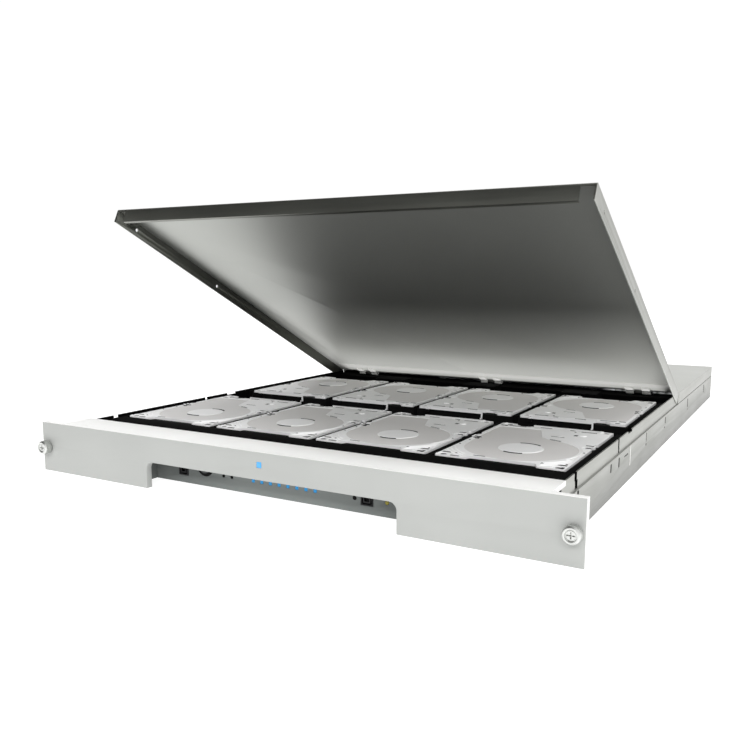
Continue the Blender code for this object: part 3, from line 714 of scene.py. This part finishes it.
def thumbscrew(side):
    """Knurled knob with a cross recess on a plain shank."""
    node = f"thumbscrew_{side}"
    low, high = node_box(node)
    x, z = (low.x + high.x) / 2, (low.z + high.z) / 2
    shape = turned_shape(SCREW_PROFILE, (x, 0, z), 64)
    arms = []
    for wide, tall in CROSS_ARMS:
        arms.append(((x - wide, x + wide), (-8.0, -5.4), (z - tall, z + tall)))
    ribs = bmesh.new()
    for i in range(KNURLS):
        a = math.tau * i / KNURLS
        spot = (x + KNOB_RADIUS * math.cos(a), -4.4, z + KNOB_RADIUS * math.sin(a))
        disc_shape([spot], "Y", 0.16, 4.4, 6, shape=ribs)
    shape = carve(shape, *(("cut", box_shape(arm)) for arm in arms))
    add_piece(f"screw_{side}", shape, node, STEEL, 0.0, stands_for=(node,))
    add_piece(f"screw_{side}_ribs", ribs, node, STEEL, 0.0)


thumbscrew("left")
thumbscrew("right")


# ---------------------------------------------------------------- drives

# Millimetres in the drive's own coordinates, with z from the chassis's underside
DRIVE_HALF = 73.5
FRONT_ROW = 4  # drives 1 to 4 stand in front, with their latch ends to the rear
COVER_LOW, COVER_TOP = 38.6, 40.9
FIELD_Z = 40.45
CARRIER_LOW, CARRIER_TOP = 14.9, 38.4


def local(u, v, z):
    """Point of the drive model: u across, v along from the middle, latch end at the low v."""
    return Vector((u, v, z)) * MM


def arc(centre, radius, start, end, steps):
    """Points on a circle between two angles in degrees, both ends included."""
    points = []
    for i in range(steps + 1):
        a = math.radians(start + (end - start) * i / steps)
        points.append((centre[0] + radius * math.cos(a), centre[1] + radius * math.sin(a)))
    return points


def rounded(corners, radius, steps):
    """Rounds each corner of a closed outline by a quadratic curve."""
    result = []
    count = len(corners)
    for i, corner in enumerate(corners):
        here = Vector(corner)
        before = Vector(corners[i - 1]) - here
        after = Vector(corners[(i + 1) % count]) - here
        reach = min(radius, before.length * 0.45, after.length * 0.45)
        a = here + before.normalized() * reach
        b = here + after.normalized() * reach
        for s in range(steps + 1):
            t = s / steps
            result.append(tuple((1 - t) ** 2 * a + 2 * t * (1 - t) * here + t * t * b))
    return result


DISC = (0.0, 21.0)
DISC_RADIUS = 43.5
SCREW_SPOTS = ((-43.5, 68.5), (43.5, 68.5), (-45.0, -5.0), (45.0, -5.0))
SCREW_SPOTS += ((-43.5, -69.0), (41.0, -69.0))


def cover_outline():
    """Cover seen from above: corner ears, notches at the sides and a step at each end."""
    half = 48.9
    right = [(half, -73.0), (half, -20.0), (46.9, -19.0), (46.9, -14.5), (half, -13.5)]
    right += [(half, -10.0), (47.4, -9.0), (47.4, -1.0), (half, 0.0), (half, 73.0)]
    top = [(27.0, 73.0), (24.0, 64.7), (-26.0, 64.7), (-29.0, 73.0), (-half, 73.0)]
    left = [(-x, y) for x, y in reversed(right[1:-1])]
    bottom = [(-half, -73.0), (-39.5, -73.0), (-38.5, -67.0), (20.5, -67.0), (21.5, -64.5)]
    bottom += [(29.5, -64.5), (31.0, -67.0), (34.0, -67.0), (35.0, -73.0)]
    return rounded(right + top + left + bottom, 1.6, 3)


def field_outline():
    """Recessed field: the platter circle run together with the arm's broad foot."""
    points = arc(DISC, DISC_RADIUS, 0.0, 257.0, 64)
    points += [(-1.5, -27.5), (9.0, -57.5)]
    points += rounded([(9.0, -57.5), (46.0, -57.5), (46.0, -20.0)], 3.0, 4)[5:10]
    points += [(45.2, 0.0)]
    return points


# Raised ribs round the disc, on both sides, in paler paint as a painted highlight: (radius, start
# angle, end angle)
RIBS = ((50.0, 23.0, 53.0), (53.5, 29.0, 56.0), (57.0, 36.0, 58.0))
# Painted shade at the raised disc's edge, as dark arcs: (radius, start angle, end angle)
SHADE_ARCS = ((18.6, 66.0, 112.0), (18.6, 236.0, 290.0))
# Dark lines on the cover, painted shade of pressed grooves: (low u, high u, v, half width)
SHADE_LINES = ((-18.0, -7.0, -34.0, 0.55), (-31.0, -29.0, 62.0, 1.6), (13.0, 22.0, 62.6, 0.6))
SHADE_LINES += ((-47.5, -41.0, 61.0, 1.3), (40.0, 47.0, 62.0, 1.1), (40.5, 46.5, -61.0, 1.3))
SHADE_LINES += ((-47.6, -41.5, -12.0, 1.1), (24.0, 39.0, -62.5, 0.8), (-37.0, -24.0, -64.0, 0.8))
SHADE_LINES += ((42.0, 47.0, 2.0, 1.0), (-47.8, -45.5, 69.5, 2.6), (30.0, 37.0, 71.0, 1.0))
SHADE_LINES += ((-25.6, -22.6, -46.5, 2.1), (-18.5, -14.0, -66.0, 0.9), (2.0, 12.0, -66.0, 0.9))
# Small dark discs, painted shade of little holes: (u, v)
HOLE_SHADES = ((-47.0, 15.0), (-46.0, 57.0), (46.8, 30.0), (46.0, 12.0))
HOLE_SHADES += ((-20.0, -60.0), (36.0, 62.0))
RIB_STEPS = 16


def rib_shape(shape, radius, start, end, side, half=0.7, low=40.7, high=41.35):
    """Low raised rib that follows a circle round the disc; side mirrors it across the drive."""
    rows = []
    top = half * 0.6
    for offset, z in ((-half, low), (-top, high), (top, high), (half, low)):
        points = arc(DISC, radius + offset, start, end, RIB_STEPS)
        rows.append([shape.verts.new(local(side * x, y, z)) for x, y in points])
    for first, second in zip(rows, rows[1:] + rows[:1]):
        for i in range(RIB_STEPS):
            shape.faces.new((first[i], first[i + 1], second[i + 1], second[i]))
    for i in (0, RIB_STEPS):
        shape.faces.new([row[i] for row in rows])
    bmesh.ops.recalc_face_normals(shape, faces=shape.faces)


def drive_meshes():
    """The meshes that all eight drives share, by the layer's name."""
    place = local
    cover = prism_shape(cover_outline(), COVER_LOW, COVER_TOP, place)
    hollows = [(u, v, 41.0) for u, v in SCREW_SPOTS]
    cover = clean(
        carve(
            cover,
            ("cut", prism_shape(field_outline(), FIELD_Z, 42.0, place)),
            ("join", disc_shape([(*DISC, 40.55)], "Z", 17.6, 0.9, 64, 16.9, place=place)),
            ("cut", disc_shape(hollows, "Z", 3.3, 1.8, 28, place=place)),
            ("cut", disc_shape([(-14.0, -36.5, 41.0)], "Z", 1.5, 1.6, 20, place=place)),
        )
    )

    screws = bmesh.new()
    for u, v in SCREW_SPOTS:
        disc_shape([(u, v, 40.3)], "Z", 2.5, 0.5, 24, 2.2, place, screws)

    block = ((-50.8, 50.8), (-DRIVE_HALF, DRIVE_HALF), (CARRIER_LOW, CARRIER_TOP))
    carrier = box_shape(block, place=place)
    grooves = []
    for low in (-60.0, -30.0, 0.0, 30.0):
        for side in (-1, 1):
            inner, outer = sorted((side * 50.0, side * 52.0))
            grooves.append(((inner, outer), (low, low + 24.0), (20.0, 32.0)))
    bracket = ((-40.2, -35.8), (-77.4, -73.0), (36.0, COVER_LOW))
    connector = ((-45.0, -3.0), (-74.0, -70.0), (16.0, 26.0))
    carrier = carve(
        carrier,
        ("cut", box_shape(*grooves, place=place)),
        ("cut", box_shape(connector, place=place)),
        ("join", box_shape(bracket, place=place)),
        ("join", disc_shape([(-38.0, -75.2, 39.2)], "Z", 1.0, 2.6, 16, place=place)),
    )
    ribs = bmesh.new()
    for radius, start, end in RIBS:
        for side in (1, -1):
            rib_shape(ribs, radius, start, end, side)
    rib_shape(ribs, 46.2, -32.0, 27.0, -1)
    disc_shape([(-30.0, -47.0, 41.3)], "Z", 2.9, 0.8, 20, 2.3, place, ribs)
    for u, v in SCREW_SPOTS:
        for shift, turn in ((4.6, 0.4), (-4.6, 2.6)):
            lug = (u + shift * math.cos(turn), v + shift * math.sin(turn), 41.0)
            disc_shape([lug], "Z", 1.3, 0.5, 12, 1.0, place, ribs)

    # Painted shade on the cover: dark arcs round the disc, lines and holes
    marks = bmesh.new()
    for radius, start, end in SHADE_ARCS:
        rib_shape(marks, radius, start, end, 1, 0.55, 40.5, 41.05)
    rib_shape(marks, 44.0, -117.0, -103.0, 1, 0.6, 40.5, 41.0)
    for low, high, v, wide in SHADE_LINES:
        box_shape(((low, high), (v - wide, v + wide), (40.5, 41.0)), place=place, shape=marks)
    disc_shape([(u, v, 40.98) for u, v in HOLE_SHADES], "Z", 0.9, 0.2, 12, 0.8, place, marks)

    shapes = {"cover": cover, "screws": screws, "carrier": clean(carrier)}
    shapes.update(ribs=ribs, marks=marks)
    return {word: to_mesh(shape, word) for word, shape in shapes.items()}


def cover_rule(centre, normal):
    """1 on the recessed field's floor, 0 on the rest of the cover."""
    return 1 if normal.z > 0.7 and abs(centre.z - FIELD_Z) < 0.1 else 0


# Layers of a drive, with the width in mm of the bevel round their edges
LAYERS = (("cover", 0.22), ("ribs", 0.0), ("marks", 0.0), ("screws", 0.0), ("carrier", 0.3))


def build_drives():
    """Eight drives from shared meshes, each with its latch; covers stay out of reflections."""
    meshes = drive_meshes()
    finish_mesh(meshes["cover"], [COVER_SILVER, COVER_GREY], cover_rule)
    # Ribs and lugs get the paler paint: painted highlight on raised shapes
    finish_mesh(meshes["ribs"], [COVER_BRIGHT])
    finish_mesh(meshes["marks"], [COVER_SHADE_PAINT])
    finish_mesh(meshes["screws"], [DARK_STEEL])
    finish_mesh(meshes["carrier"], [CASTING])
    for node in DRIVE_NODES:
        low, high = node_box(node)
        number = int(node.split("_")[1])
        turned_round = number <= FRONT_ROW
        x = (low.x + high.x) / 2
        y = low.y + DRIVE_HALF if turned_round else high.y - DRIVE_HALF
        matrix = Matrix.Translation(at(x, y, 0))
        if turned_round:
            matrix = matrix @ Matrix.Rotation(math.pi, 4, "Z")
        for word, bevel in LAYERS:
            obj = bpy.data.objects.new(f"{node}_{word}", meshes[word])
            obj.visible_glossy = word == "carrier"
            bpy.context.scene.collection.objects.link(obj)
            obj.matrix_world = matrix
            soften(obj, bevel)
            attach(obj, node)
            if word == "carrier":
                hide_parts(node)
        dress(f"drive_latch_{number}", f"latch_{number}", COVER_SILVER, 0.2)


build_drives()


# ---------------------------------------------------------------- room, lights and camera


def floor():
    """Pale ground, partly self-lit to reach the studio's white."""
    bpy.ops.mesh.primitive_plane_add(size=12.0, location=(0, 0, -0.0002))
    plane = bpy.context.object
    plane.name = "floor"
    material, tree, shader = nodes_of("floor")
    cloud = noise(tree, texture_space(tree), 0.8, 2.0)
    tree.links.new(
        two_tone(tree, cloud, (0.42, 0.42, 0.42), (0.44, 0.44, 0.44)), shader.inputs["Base Color"]
    )
    shader.inputs["Roughness"].default_value = 0.9
    shader.inputs["Specular IOR Level"].default_value = 0.0
    shader.inputs["Emission Color"].default_value = (1, 1, 1, 1)
    shader.inputs["Emission Strength"].default_value = 0.90
    plane.data.materials.append(material)


FLAG_DIRECTION = Vector((-0.55, -0.45, 0.70))


def world():
    """White surround with one soft dark patch above the front left, as a studio flag gives."""
    sky = bpy.data.worlds.new("studio")
    bpy.context.scene.world = sky
    sky.use_nodes = True
    tree = sky.node_tree
    spot = tree.nodes.new("ShaderNodeTexCoord")
    dot = tree.nodes.new("ShaderNodeVectorMath")
    dot.operation = "DOT_PRODUCT"
    dot.inputs[1].default_value = FLAG_DIRECTION.normalized()
    tree.links.new(spot.outputs["Generated"], dot.inputs[0])
    tone = tree.nodes.new("ShaderNodeMapRange")
    tone.interpolation_type = "SMOOTHSTEP"
    tone.inputs["From Min"].default_value = 0.35
    tone.inputs["From Max"].default_value = 0.85
    tone.inputs["To Min"].default_value = 1.02
    tone.inputs["To Max"].default_value = 0.10
    tree.links.new(dot.outputs["Value"], tone.inputs["Value"])
    tree.links.new(tone.outputs["Result"], tree.nodes["Background"].inputs["Strength"])
    tree.nodes["Background"].inputs["Color"].default_value = (1, 1, 1, 1)


def softbox(name, place, target, size, power):
    """Rectangular light of a size in metres and a power in watts, unseen by camera and mirrors."""
    data = bpy.data.lights.new(name, "AREA")
    data.shape = "RECTANGLE"
    data.size, data.size_y = size
    data.energy = power
    lamp = bpy.data.objects.new(name, data)
    lamp.location = place
    lamp.rotation_euler = (Vector(target) - Vector(place)).to_track_quat("-Z", "Y").to_euler()
    lamp.visible_glossy = False
    lamp.visible_camera = False
    bpy.context.scene.collection.objects.link(lamp)


def camera():
    """Camera as solved from the photograph: 36 mm sensor, small shift, depth of field off."""
    data = bpy.data.cameras.new("camera")
    data.sensor_width = 36.0
    data.lens = 37.93
    data.shift_x = 0.0195
    data.shift_y = 0.0334
    data.clip_start = 0.01
    view = bpy.data.objects.new("camera", data)
    view.location = (0.3533, -0.8340, 0.1732)
    view.rotation_euler = (math.radians(80.95), 0.0, math.radians(30.43))
    bpy.context.scene.collection.objects.link(view)
    bpy.context.scene.camera = view


floor()
world()
# Two studio lights, then two small fills for the light that bounces between lid and drives
LOOK_AT = (0.0, -0.1, 0.0)
softbox("top_light", (0.0, -0.3, 2.4), LOOK_AT, (2.4, 2.0), 30.0)
softbox("front_light", (0.3, -2.0, 1.15), LOOK_AT, (1.8, 0.45), 20.0)
softbox("cover_glow", (0.0, 0.048, 0.0435), (0.0, 0.048, 0.16), (0.41, 0.076), 0.085)
softbox("drive_glow", (0.0, -0.05, 0.15), (0.0, -0.01, 0.04), (0.40, 0.10), 0.11)
camera()
bpy.context.scene.view_settings.view_transform = "Standard"
